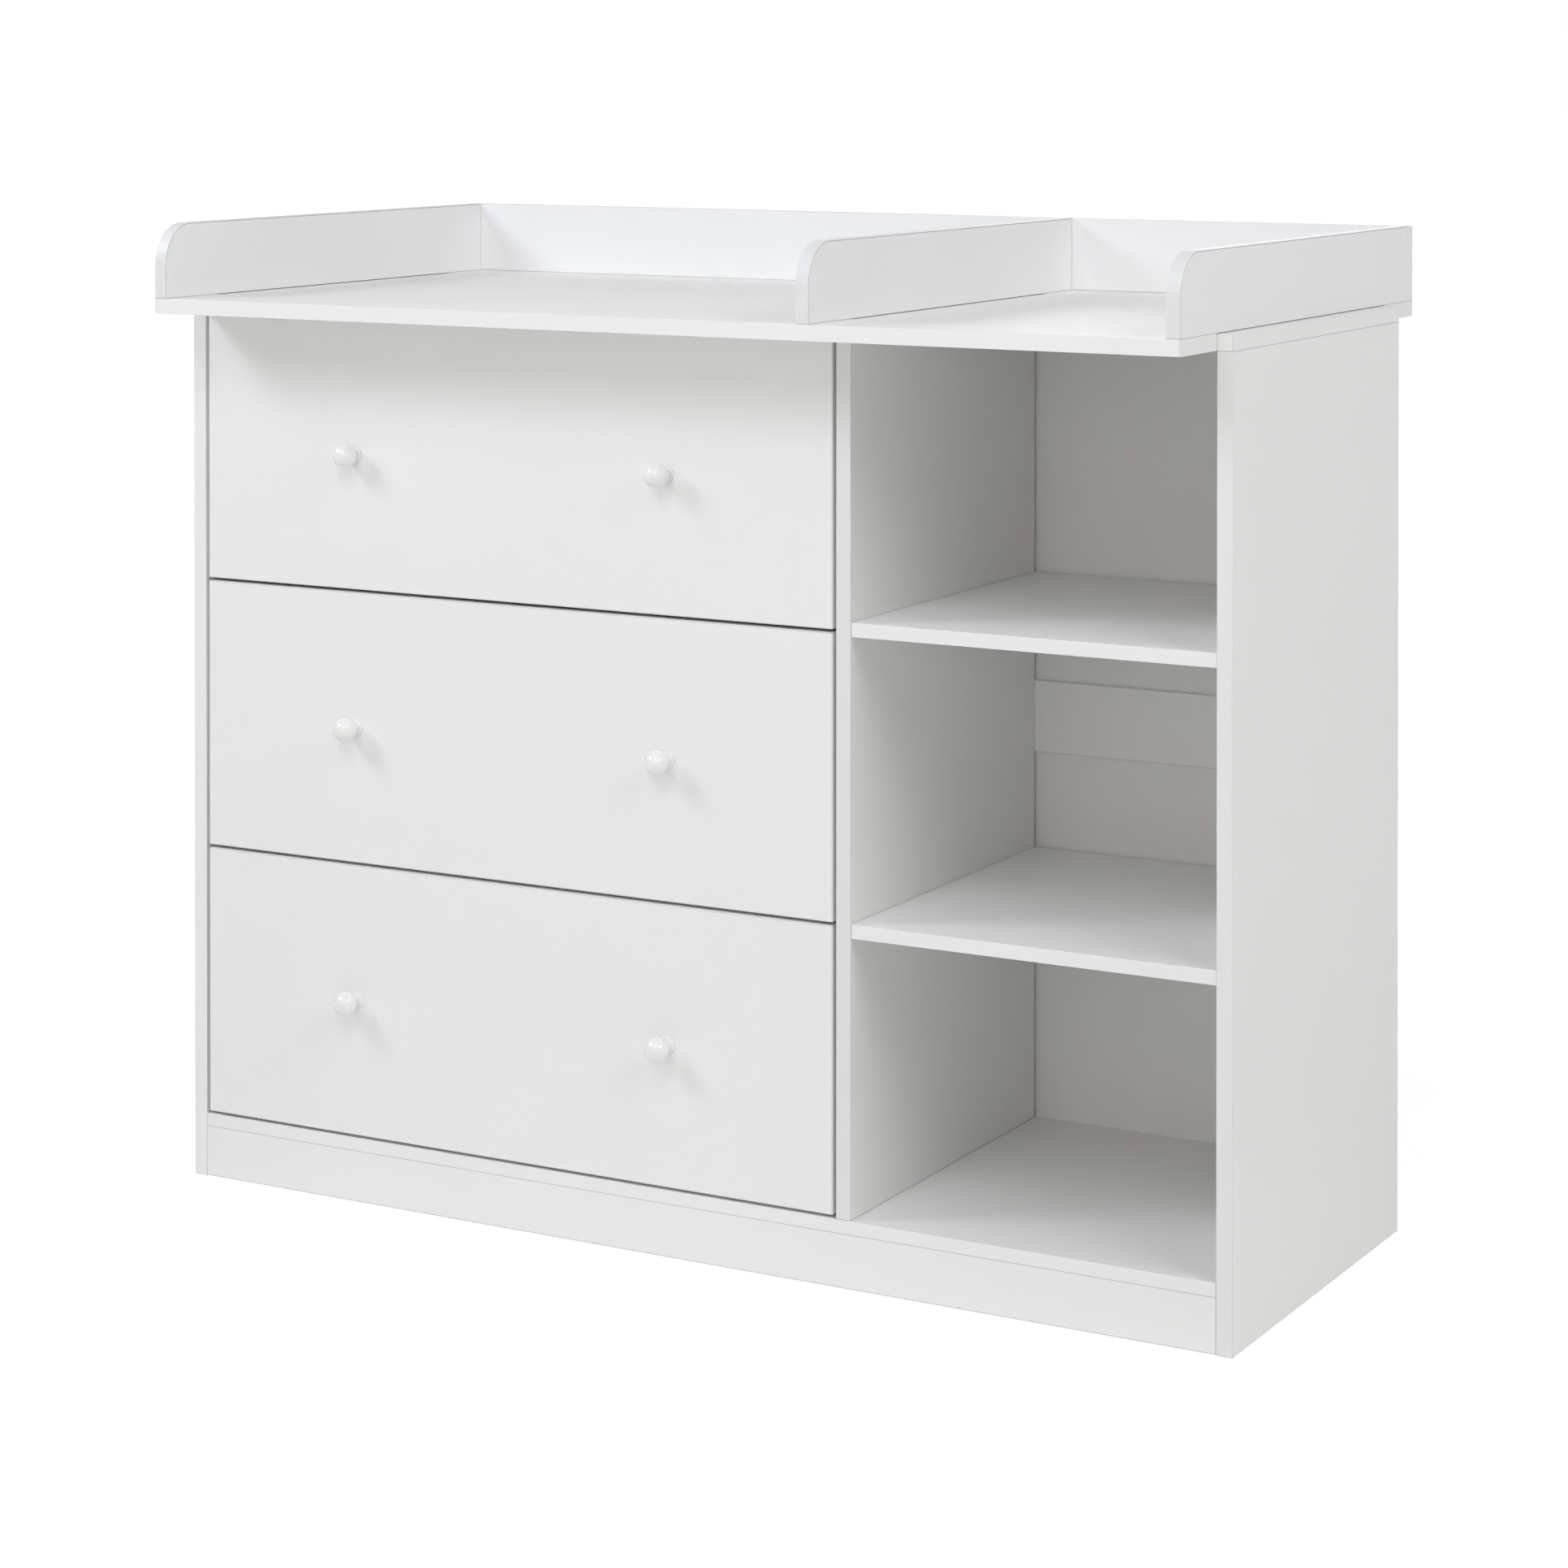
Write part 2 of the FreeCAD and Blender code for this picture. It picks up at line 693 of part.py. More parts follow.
def drawer_nodes(number):
    """All pieces of one drawer, and the rollers of its runners."""
    runner_left, runner_right = with_right_twin(drawer_member_left(number))
    cabinet_roller = roller_left(number, cabinet_axle_y, cabinet_axle_height,
                                 cabinet_roller_radius)
    drawer_roller = roller_left(number, drawer_axle_y, channel_mid, drawer_roller_radius)
    knobs = [knob(x, z) for x, z in knob_places(number)]
    screws = [knob_screw(x, z) for x, z in knob_places(number)]
    pieces = {
        "front": drawer_front(number),
        "side_left": drawer_side(number, box_left),
        "side_right": drawer_side(number, box_right - box_board),
        "back": drawer_back(number),
        "bottom": drawer_bottom(number),
        "knobs": Part.makeCompound(knobs),
        "knob_screws": Part.makeCompound(screws),
        "runner_left": runner_left,
        "runner_right": runner_right,
        "rollers": Part.makeCompound(with_right_twin(drawer_roller)),
        "cabinet_rollers": Part.makeCompound(with_right_twin(cabinet_roller)),
    }
    return {"drawer_%d_%s" % (number, name): shape for name, shape in pieces.items()}


def main():
    os.makedirs("parts", exist_ok=True)
    nodes = fitted_nodes()
    nodes.update(cabinet_member_nodes())
    for number in range(1, drawer_count + 1):
        nodes.update(drawer_nodes(number))
    for name, shape in nodes.items():
        shape.exportStep("parts/%s.step" % name)


main()
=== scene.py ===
import math

import bmesh
import bpy
from mathutils import Matrix, Vector


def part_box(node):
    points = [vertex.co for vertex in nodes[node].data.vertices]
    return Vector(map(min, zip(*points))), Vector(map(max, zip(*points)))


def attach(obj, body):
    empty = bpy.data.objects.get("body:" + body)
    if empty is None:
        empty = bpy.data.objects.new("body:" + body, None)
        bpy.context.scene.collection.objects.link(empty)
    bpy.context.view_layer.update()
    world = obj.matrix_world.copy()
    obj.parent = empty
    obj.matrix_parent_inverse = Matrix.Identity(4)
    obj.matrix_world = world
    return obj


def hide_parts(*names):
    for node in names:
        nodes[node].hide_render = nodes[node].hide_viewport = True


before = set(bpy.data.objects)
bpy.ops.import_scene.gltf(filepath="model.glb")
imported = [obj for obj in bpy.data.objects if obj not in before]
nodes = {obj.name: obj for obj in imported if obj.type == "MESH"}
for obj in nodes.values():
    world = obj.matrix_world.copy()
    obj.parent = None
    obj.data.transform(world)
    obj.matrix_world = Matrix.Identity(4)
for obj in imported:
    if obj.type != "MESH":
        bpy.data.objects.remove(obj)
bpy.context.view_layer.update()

MM = 0.001
X, Y, Z = 0, 1, 2
AXES = (Vector((1, 0, 0)), Vector((0, 1, 0)), Vector((0, 0, 1)))
DRAWERS = {1: "top", 2: "middle", 3: "bottom"}

JOIN_DISTANCE = 0.005 * MM       # corners closer than this are one corner

# Whites, as linear colours: the melamine-faced boards, the foil-faced walls of the
# changing attachment, the coated hardboard, the drawer boxes, the runners and the knobs.
BOARD_WHITE = (0.890, 0.887, 0.880)
WALL_WHITE = (0.890, 0.892, 0.898)
HARDBOARD_WHITE = (0.860, 0.860, 0.850)
BOX_WHITE = (0.87, 0.87, 0.86)
BOX_BOTTOM_WHITE = (0.84, 0.84, 0.83)
EPOXY_WHITE = (0.84, 0.84, 0.83)
LACQUER_WHITE = (0.870, 0.865, 0.858)
# Joints and hairlines, and the painted shade in the partition's corner by the back panel.
SEAM_AND_SHADE_TONE = (0.20, 0.19, 0.17, 1.0)
# Bare edges of chipboard, with the glue between the chips, and bare hardboard.
CHIPS = ((0.36, 0.25, 0.14, 1.0), (0.60, 0.46, 0.29, 1.0))
GLUE = (0.20, 0.13, 0.07, 1.0)
FIBRES = ((0.22, 0.135, 0.07, 1.0), (0.38, 0.25, 0.14, 1.0))

# Lines drawn on the boards: half widths of the core and of the fade in mm, and strength.
BAND_LINE = (0.10, 0.24, 0.7)
SEAM_LINE = (0.22, 0.50, 1.0)
# The next line is for painted shade: a dark band in the corner where the partition meets
# the back panel.
CORNER_SHADE_LINE = (0.6, 1.2, 1.0)
ARC_LINE = (0.20, 0.45, 0.85)
# How far those lines lie inside the board's edge, in mm.
BAND_INSET = 0.8
SEAM_INSET = 0.1
ARC_INSET = 0.9

WALL_CORNER = 42 * MM            # radius of a wall's upper front corner

# Light: the world's radiance, and the lamps' tints.
WORLD_LEVEL = 0.24
NEUTRAL_LIGHT = (1.0, 1.0, 1.0)
COOL_LIGHT = (0.935, 0.96, 1.0)
WARM_LIGHT = (1.0, 0.952, 0.895)


# ---- shader nodes ----------------------------------------------------------------------
class Shader:
    """A material under construction: a thin layer over its node tree."""

    def __init__(self, name, roughness, coat=0.0):
        self.material = bpy.data.materials.new(name)
        self.material.use_nodes = True
        self.tree = self.material.node_tree
        self.surface = self.tree.nodes["Principled BSDF"]
        self.surface.inputs["Roughness"].default_value = roughness
        self.surface.inputs["Coat Weight"].default_value = coat
        self.place = self.add("ShaderNodeTexCoord").outputs["Object"]

    def add(self, kind, **settings):
        node = self.tree.nodes.new(kind)
        for key, value in settings.items():
            setattr(node, key, value)
        return node

    def link(self, value, socket):
        """Put a number, a colour or another node's output on a socket."""
        if isinstance(value, bpy.types.NodeSocket):
            self.tree.links.new(value, socket)
        else:
            socket.default_value = value

    def math(self, operation, *values):
        node = self.add("ShaderNodeMath", operation=operation)
        for value, socket in zip(values, node.inputs):
            self.link(value, socket)
        return node.outputs[0]

    def stretch(self, value, low, high, to_low=0.0, to_high=1.0):
        """Map a range of a value to another range, clamped."""
        node = self.add("ShaderNodeMapRange")
        for socket, number in zip(node.inputs, (value, low, high, to_low, to_high)):
            self.link(number, socket)
        return node.outputs[0]

    def mix(self, share, first, second):
        """Blend two colours. This node's colour inputs are 6 and 7, its output is 2."""
        node = self.add("ShaderNodeMix", data_type="RGBA")
        for value, socket in ((share, 0), (first, 6), (second, 7)):
            self.link(value, node.inputs[socket])
        return node.outputs[2]

    def squeezed(self, squeeze):
        """Object coordinates, scaled along each axis."""
        place = self.add("ShaderNodeMapping")
        self.link(self.place, place.inputs[0])
        place.inputs["Scale"].default_value = squeeze
        return place.outputs[0]

    def noise(self, scale, detail=2.0, squeeze=(1, 1, 1), rough=0.5):
        node = self.add("ShaderNodeTexNoise")
        self.link(self.squeezed(squeeze), node.inputs["Vector"])
        node.inputs["Scale"].default_value = scale
        node.inputs["Detail"].default_value = detail
        node.inputs["Roughness"].default_value = rough
        return node.outputs[0]

    def cells(self, scale, squeeze):
        node = self.add("ShaderNodeTexVoronoi")
        self.link(self.squeezed(squeeze), node.inputs["Vector"])
        node.inputs["Scale"].default_value = scale
        return node.outputs["Color"], node.outputs["Distance"]

    def clouded(self, white, scale, detail, low, high):
        """A white with soft patches, between two factors of its level."""
        share = self.stretch(self.noise(scale, detail), 0.3, 0.7)
        return self.mix(share, tone(white, low), tone(white, high))

    def axis(self, number):
        """One of the object coordinates."""
        split = self.add("ShaderNodeSeparateXYZ")
        self.link(self.place, split.inputs[0])
        return split.outputs[number]

    def facing(self, axis, sign):
        """1 where the surface faces along an axis, 0 elsewhere."""
        split = self.add("ShaderNodeSeparateXYZ")
        self.link(self.add("ShaderNodeTexCoord").outputs["Normal"], split.inputs[0])
        along = self.math("MULTIPLY", split.outputs[axis], float(sign))
        return self.math("GREATER_THAN", along, 0.8)

    def across(self, axis):
        """1 on the two faces that an axis goes through, 0 elsewhere."""
        return self.math("MAXIMUM", self.facing(axis, 1), self.facing(axis, -1))

    def bump(self, height, strength, relief=0.2):
        """Fine relief; its full height is in mm."""
        node = self.add("ShaderNodeBump")
        node.inputs["Strength"].default_value = strength
        node.inputs["Distance"].default_value = relief * MM
        self.link(height, node.inputs["Height"])
        self.link(node.outputs[0], self.surface.inputs["Normal"])

    def finish(self, colour, roughness):
        self.link(colour, self.surface.inputs["Base Color"])
        self.link(roughness, self.surface.inputs["Roughness"])
        return self.material


def tone(white, factor):
    """A white, darker or lighter by a factor."""
    return tuple(channel * factor for channel in white) + (1.0,)


def board_material(name, white, bands=(), seams=(), raw=(), arc=None, rim=1.0, gap=None,
                   grain=900.0, depth=0.05):
    """White board facing: fine pearl grain, faint cloudiness, a hairline where an edge band
    meets the face and a shadow line where the board meets its neighbour. bands and seams
    are (axis, coordinate) of those lines, raw are (axis, sign) of unbanded edges that
    show the chipboard, arc is a wall's rounded outline, rim the tone of an upright board's
    narrow sides, gap the place along Y of a joint beside which a band of painted
    shade darkens the corner."""
    shader = Shader(name, 0.4)
    pearl = shader.noise(grain, 3.0, rough=0.6)
    colour = shader.clouded(white, 5.0, 3.0, 0.991, 1.006)
    speck = shader.stretch(pearl, 0.35, 0.75, 0.0, 0.05)
    colour = shader.mix(speck, colour, tone(white, 0.8))
    if rim < 1.0:
        colour = shader.mix(shader.across(X), tone(white, rim), colour)
    height = pearl
    marks = [hairline(shader, axis, place, *BAND_LINE) for axis, place in bands]
    marks += [hairline(shader, axis, place, *SEAM_LINE) for axis, place in seams]
    if arc:
        marks.append(arc_hairline(shader, *arc))
    # Painted shade: a dark band beside the joint, where the corner lies in shadow.
    if gap is not None:
        marks.append(hairline(shader, Y, gap, *CORNER_SHADE_LINE))
    if marks:
        mark = marks[0]
        for other in marks[1:]:
            mark = shader.math("MAXIMUM", mark, other)
        colour = shader.mix(shader.math("MULTIPLY", mark, 0.85), colour, SEAM_AND_SHADE_TONE)
        height = shader.math("SUBTRACT", height, mark)
    roughness = shader.stretch(pearl, 0.3, 0.7, 0.36, 0.48)
    for axis, sign in raw:
        side = shader.facing(axis, sign)
        colour = shader.mix(side, colour, chipboard(shader))
        roughness = shader.math("MAXIMUM", roughness, shader.math("MULTIPLY", side, 0.85))
    shader.bump(height, depth)
    return shader.finish(colour, roughness)


def chipboard(shader):
    """The colour of a bare chipboard edge: chips of many browns, darker between them."""
    chips, distance = shader.cells(420.0, (1.0, 1.0, 1.6))
    shade = shader.add("ShaderNodeSeparateColor")
    shader.link(chips, shade.inputs[0])
    wood = shader.mix(shade.outputs[0], *CHIPS)
    return shader.mix(shader.stretch(distance, 0.0, 0.25, 0.5, 0.0), wood, GLUE)


def hairline(shader, axis, place, core, fade, strength):
    """A thin line across an axis, on the faces that run along the axis; core and fade are
    half widths in mm."""
    off = shader.math("ABSOLUTE", shader.math("SUBTRACT", shader.axis(axis), place))
    near = shader.stretch(off, core * MM, fade * MM, strength, 0.0)
    return shader.math("MULTIPLY", near, shader.math("SUBTRACT", 1.0, shader.across(axis)))


def arc_hairline(shader, front, top, radius):
    """Hairline inside the outline of a wall's face, round its upper front corner."""
    before = shader.math("SUBTRACT", front + radius, shader.axis(Y))
    above = shader.math("SUBTRACT", shader.axis(Z), top - radius)
    run = shader.math("MAXIMUM", before, 0.0)
    rise = shader.math("MAXIMUM", above, 0.0)
    reach = shader.math("SQRT", shader.math("ADD", shader.math("MULTIPLY", run, run),
                                            shader.math("MULTIPLY", rise, rise)))
    inside = shader.math("SUBTRACT", radius, reach)
    off = shader.math("ABSOLUTE", shader.math("SUBTRACT", inside, ARC_INSET * MM))
    core, fade, strength = ARC_LINE
    near = shader.stretch(off, core * MM, fade * MM, strength, 0.0)
    return shader.math("MULTIPLY", near, shader.across(X))


def hardboard_material(name, white, raw_axis, raw_sign):
    """Thin hardboard: coated white on the seen side, bare brown fibre on the other."""
    shader = Shader(name, 0.5)
    fibre = shader.noise(500.0, 5.0, rough=0.65)
    coat = shader.clouded(white, 4.0, 3.0, 0.985, 1.008)
    brown = shader.mix(shader.stretch(fibre, 0.25, 0.75), *FIBRES)
    side = shader.facing(raw_axis, raw_sign)
    roughness = shader.math("ADD", 0.46, shader.math("MULTIPLY", side, 0.3))
    shader.bump(fibre, 0.08)
    return shader.finish(shader.mix(side, coat, brown), roughness)


def lacquer_material(name, white):
    """Sprayed white lacquer: glossy, with a slight orange peel."""
    shader = Shader(name, 0.14, coat=0.2)
    shader.surface.inputs["Coat Roughness"].default_value = 0.05
    peel = shader.noise(420.0, 2.0)
    colour = shader.clouded(white, 60.0, 2.0, 0.99, 1.01)
    shader.bump(peel, 0.05)
    return shader.finish(colour, shader.stretch(peel, 0.3, 0.7, 0.10, 0.18))


def painted_steel_material(name, white):
    """White epoxy powder coat on folded steel."""
    shader = Shader(name, 0.35)
    peel = shader.noise(650.0, 3.0)
    colour = shader.clouded(white, 25.0, 2.0, 0.98, 1.01)
    shader.bump(peel, 0.12)
    return shader.finish(colour, shader.stretch(peel, 0.3, 0.7, 0.28, 0.42))


def nylon_material(name):
    """Milky nylon, a little translucent, with faint moulding marks."""
    shader = Shader(name, 0.42)
    shader.surface.inputs["Subsurface Weight"].default_value = 0.15
    shader.surface.inputs["Subsurface Scale"].default_value = 1.5 * MM
    marks = shader.noise(300.0, 2.0)
    colour = shader.mix(marks, (0.78, 0.77, 0.73, 1.0), (0.84, 0.83, 0.80, 1.0))
    shader.bump(marks, 0.06)
    return shader.finish(colour, shader.stretch(marks, 0.3, 0.7, 0.36, 0.5))


def zinc_material(name):
    """Zinc plate: a bright bluish grey with blotched roughness and fine scratches."""
    shader = Shader(name, 0.3)
    shader.surface.inputs["Metallic"].default_value = 1.0
    blotch = shader.noise(350.0, 3.0)
    scratch = shader.noise(900.0, 2.0, (1.0, 1.0, 0.08))
    colour = shader.mix(blotch, (0.55, 0.56, 0.58, 1.0), (0.72, 0.73, 0.74, 1.0))
    shader.bump(scratch, 0.08, relief=0.1)
    return shader.finish(colour, shader.stretch(blotch, 0.3, 0.7, 0.24, 0.46))


def beech_material(name):
    """Bare beech with short flecks along the dowel."""
    shader = Shader(name, 0.6)
    grain = shader.noise(500.0, 4.0, (1.0, 1.0, 0.15))
    colour = shader.mix(grain, (0.46, 0.28, 0.14, 1.0), (0.68, 0.48, 0.28, 1.0))
    shader.bump(grain, 0.15)
    return shader.finish(colour, shader.stretch(grain, 0.3, 0.7, 0.55, 0.7))


def felt_material(name):
    """Grey pressed felt."""
    shader = Shader(name, 0.95)
    shader.surface.inputs["Sheen Weight"].default_value = 0.3
    fuzz = shader.noise(1400.0, 5.0, rough=0.7)
    colour = shader.mix(fuzz, (0.12, 0.12, 0.12, 1.0), (0.30, 0.30, 0.29, 1.0))
    shader.bump(fuzz, 0.4, relief=0.3)
    return shader.finish(colour, shader.stretch(fuzz, 0.3, 0.7, 0.88, 1.0))


# ---- CAD nodes that stay ---------------------------------------------------------------
def soften(node, width, angle=40.0):
    """Break the edges of a board or a folded sheet that turn by more than an angle."""
    piece = nodes[node]
    weld = piece.modifiers.new("weld", "WELD")
    weld.merge_threshold = JOIN_DISTANCE
    bevel = piece.modifiers.new("broken edges", "BEVEL")
    bevel.width = width
    bevel.segments = 2
    bevel.limit_method = "ANGLE"
    bevel.angle_limit = math.radians(angle)
    bevel.use_clamp_overlap = False
    normals = piece.modifiers.new("even faces", "WEIGHTED_NORMAL")
    normals.keep_sharp = False


def wear(node, material):
    """Give a CAD node its one material."""
    slots = nodes[node].data.materials
    slots.clear()
    slots.append(material)


def lines(node, faces, inset):
    """Lines along a board's edges, inset mm inside its faces (axis, sign)."""
    low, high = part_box(node)
    return [(axis, high[axis] - inset * MM if sign > 0 else low[axis] + inset * MM)
            for axis, sign in faces]


def dress(node, white, banded=(), seamed=(), raw=(), edge=0.35, **more):
    """Board facing for a CAD board: banded, seamed and raw are faces (axis, sign)."""
    wear(node, board_material(node, white, lines(node, banded, BAND_INSET),
                              lines(node, seamed, SEAM_INSET), raw, **more))
    soften(node, edge * MM)


FRONT, BACK, LEFT, RIGHT, UP, DOWN = (Y, -1), (Y, 1), (X, -1), (X, 1), (Z, 1), (Z, -1)
ROUND = (FRONT, BACK, LEFT, RIGHT)

# node: (banded faces, faces that meet a neighbour, unbanded faces)
boards = {
    "top_panel": (ROUND, (DOWN,), ()),
    "bottom_panel": ((FRONT,), (LEFT, RIGHT, DOWN), (BACK,)),
    "plinth_front": ((DOWN,), (LEFT, RIGHT), ()),
    "plinth_rear": ((DOWN,), (LEFT, RIGHT), ()),
    "back_rail": ((UP, DOWN), (LEFT, RIGHT), ()),
    "shelf_upper": ((FRONT,), (LEFT, RIGHT, BACK), ()),
    "shelf_lower": ((FRONT,), (LEFT, RIGHT, BACK), ()),
    "changing_front_board": (ROUND, (), ()),
    "changing_rear_strip": (ROUND, (), ()),
    "side_panel_left": ((FRONT,), (), (BACK, DOWN)),
}
for node, (banded, seamed, raw) in boards.items():
    dress(node, BOARD_WHITE, banded, seamed, raw)
dress("side_panel_right", BOARD_WHITE, (FRONT,), (), (BACK, DOWN), rim=0.94)
back_panel_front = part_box("back_panel_upper")[0].y
# The partition's corner against the back panel gets a band of painted shade.
dress("centre_partition", BOARD_WHITE, (FRONT,), (UP, DOWN), (BACK,), rim=0.90,
      gap=back_panel_front - CORNER_SHADE_LINE[0] * MM)

foil = {"edge": 0.5, "grain": 1200.0, "depth": 0.03}
low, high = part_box("changing_wall_left")
for side in ("left", "middle", "right"):
    dress("changing_wall_" + side, WALL_WHITE, seamed=(DOWN, BACK), rim=0.88,
          arc=(low.y, high.z, WALL_CORNER), **foil)
dress("changing_wall_rear", WALL_WHITE, (LEFT, RIGHT), (DOWN,), **foil)

for node in ("back_panel_lower", "back_panel_upper"):
    wear(node, hardboard_material(node, HARDBOARD_WHITE, Y, 1))

box_board = board_material("drawer_box_board", BOX_WHITE, grain=1300.0, depth=0.03)
box_bottom = hardboard_material("drawer_bottom_board", BOX_BOTTOM_WHITE, Z, -1)
epoxy = painted_steel_material("white_epoxy", EPOXY_WHITE)
nylon = nylon_material("milky_nylon")
zinc = zinc_material("zinc_plate")
lacquer = lacquer_material("knob_lacquer", LACQUER_WHITE)
for number in DRAWERS:
    prefix = "drawer_%d_" % number
    dress(prefix + "front", BOARD_WHITE, (LEFT, RIGHT, UP, DOWN), edge=0.5)
    for part in ("side_left", "side_right", "back"):
        wear(prefix + part, box_board)
        soften(prefix + part, 0.4 * MM)
    wear(prefix + "bottom", box_bottom)
    for part in ("runner_left", "runner_right"):
        wear(prefix + part, epoxy)
        soften(prefix + part, 0.25 * MM, 50.0)
for node in ("cabinet_runners_left", "cabinet_runners_right"):
    wear(node, epoxy)
    soften(node, 0.25 * MM, 50.0)
wear("cam_bolts", zinc)
wear("wooden_dowels", beech_material("beech"))
wear("changing_pads", felt_material("grey_felt"))


# ---- turned and moulded pieces ---------------------------------------------------------
def arc_points(centre_radius, centre_height, radius, start, end, steps):
    """Points of a profile's arc, by angles in degrees from the radial direction."""
    points = []
    for step in range(steps + 1):
        turn = math.radians(start + (end - start) * step / steps)
        points.append((centre_radius + radius * math.cos(turn),
                       centre_height + radius * math.sin(turn)))
    return points


def turn_profile(mesh, profile, place, sides):
    """Add the surface of revolution of (radius, height) points, placed by a matrix."""
    rings = []
    for radius, height in profile:
        if radius == 0.0:
            rings.append([mesh.verts.new(place @ Vector((0, 0, height * MM)))])
            continue
        ring = []
        for k in range(sides):
            turn = 2 * math.pi * k / sides
            ring.append(mesh.verts.new(place @ Vector((
                radius * MM * math.cos(turn), radius * MM * math.sin(turn), height * MM))))
        rings.append(ring)
    for near, far in zip(rings, rings[1:]):
        for k in range(sides):
            after = (k + 1) % sides
            if len(near) == 1:
                mesh.faces.new((near[0], far[k], far[after]))
            elif len(far) == 1:
                mesh.faces.new((near[k], far[0], near[after]))
            else:
                mesh.faces.new((near[k], far[k], far[after], near[after]))
    return rings


def cross_recess(mesh, rim, place, arm, half_width, height, depth):
    """Close the top ring of a head with a flat face that has a cross-shaped pit, which
    narrows towards its foot."""
    narrowing = 0.55
    corners = []
    for quarter in range(4):
        turn = Matrix.Rotation(math.pi / 2 * quarter, 3, "Z")
        for x, y in ((half_width, -arm), (half_width, -half_width), (arm, -half_width)):
            corners.append(turn @ Vector((x, y, 0)))
    top = [mesh.verts.new(place @ ((c + Vector((0, 0, height))) * MM)) for c in corners]
    pit = [mesh.verts.new(place @ ((c * narrowing + Vector((0, 0, height - depth))) * MM))
           for c in corners]
    count = len(corners)
    edges = [mesh.edges.new((top[k], top[(k + 1) % count])) for k in range(count)]
    edges += [mesh.edges.get((rim[k], rim[(k + 1) % len(rim)])) for k in range(len(rim))]
    bmesh.ops.triangle_fill(mesh, edges=edges, use_beauty=True)
    for k in range(count):
        after = (k + 1) % count
        mesh.faces.new((top[k], top[after], pit[after], pit[k]))
    mesh.faces.new(pit)


def along(start, way):
    """A matrix that puts a profile's foot at start and its height along way."""
    turn = Vector((0, 0, 1)).rotation_difference(Vector(way)).to_matrix().to_4x4()
    return Matrix.Translation(start) @ turn


def piece_from(mesh, name, body, material, replaced, sharp=35.0):
    """Make a piece of the mesh, in place of a CAD node."""
    bmesh.ops.recalc_face_normals(mesh, faces=mesh.faces)
    data = bpy.data.meshes.new(name)
    mesh.to_mesh(data)
    mesh.free()
    data.polygons.foreach_set("use_smooth", [True] * len(data.polygons))
    data.set_sharp_from_angle(angle=math.radians(sharp))
    data.materials.append(material)
    piece = bpy.data.objects.new(name, data)
    bpy.context.scene.collection.objects.link(piece)
    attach(piece, body)
    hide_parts(replaced)


def solid_boxes(node):
    """The box of each separate solid of a CAD node, as (lowest, highest) corners."""
    mesh = bmesh.new()
    mesh.from_mesh(nodes[node].data)
    bmesh.ops.remove_doubles(mesh, verts=mesh.verts, dist=JOIN_DISTANCE)
    boxes = []
    seen = set()
    for first in mesh.verts:
        if first in seen:
            continue
        seen.add(first)
        group = [first]
        for vertex in group:
            for edge in vertex.link_edges:
                other = edge.other_vert(vertex)
                if other not in seen:
                    seen.add(other)
                    group.append(other)
        boxes.append((Vector([min(v.co[a] for v in group) for a in range(3)]),
                      Vector([max(v.co[a] for v in group) for a in range(3)])))
    mesh.free()
    return boxes


def threaded(radius, start, end):
    """Profile of a thread as rings, from its point end up to the head."""
    pitch, core = 1.3, radius * 0.72
    points = [(core, start)]
    height = start
    while height + pitch < end:
        points += [(core, height + 0.35 * pitch), (radius, height + 0.55 * pitch),
                   (core, height + 0.75 * pitch)]
        height += pitch
    return points + [(core, end)]


# Knobs: a turned ball on a short neck and a stepped foot with a broken edge.
ball_radius, ball_middle, foot_radius = 12.5, 17.0, 9.7
knob_profile = (
    [(0.0, 0.0), (foot_radius, 0.0)] + arc_points(foot_radius, 0.3, 0.3, -90, 0, 3)
    + arc_points(9.4, 2.4, 0.6, 0, 75, 6)
    + [(8.6, 2.9)] + arc_points(7.9, 3.2, 0.3, 250, 180, 4)
    + arc_points(7.2, 4.0, 0.4, 0, 90, 4)
    + arc_points(6.5, 4.7, 0.3, 270, 190, 3)
    + arc_points(0.0, ball_middle, ball_radius, -60.3, 89.99, 40)
    + [(0.0, ball_middle + ball_radius)]
)
for number, name in DRAWERS.items():
    mesh = bmesh.new()
    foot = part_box("drawer_%d_front" % number)[0].y
    for low, high in solid_boxes("drawer_%d_knobs" % number):
        middle = (low + high) / 2
        start = Vector((middle.x, foot, middle.z))
        turn_profile(mesh, knob_profile, along(start, (0, -1, 0)), sides=72)
    piece_from(mesh, "turned_knobs_" + name, name + "_drawer", lacquer,
               "drawer_%d_knobs" % number, sharp=40.0)


def screw(mesh, start, way, head, shank_radius, length, arm):
    """A screw whose shank runs from start along way. head is a list of profile points
    that ends in the head's flat rim; it points against way. arm is half the length of its
    cross recess."""
    tip, neck = 2.0, 2.0
    place = along(start, -Vector(way))
    profile = [(0.0, -length), (shank_radius * 0.4, -length + tip / 2)]
    profile += threaded(shank_radius, -length + tip, -neck - 0.5)
    profile += [(shank_radius, -neck)] + head
    rings = turn_profile(mesh, profile, place, sides=20)
    cross_recess(mesh, rings[-1], place, arm, half_width=arm * 0.28, height=head[-1][1],
                 depth=arm * 0.7)


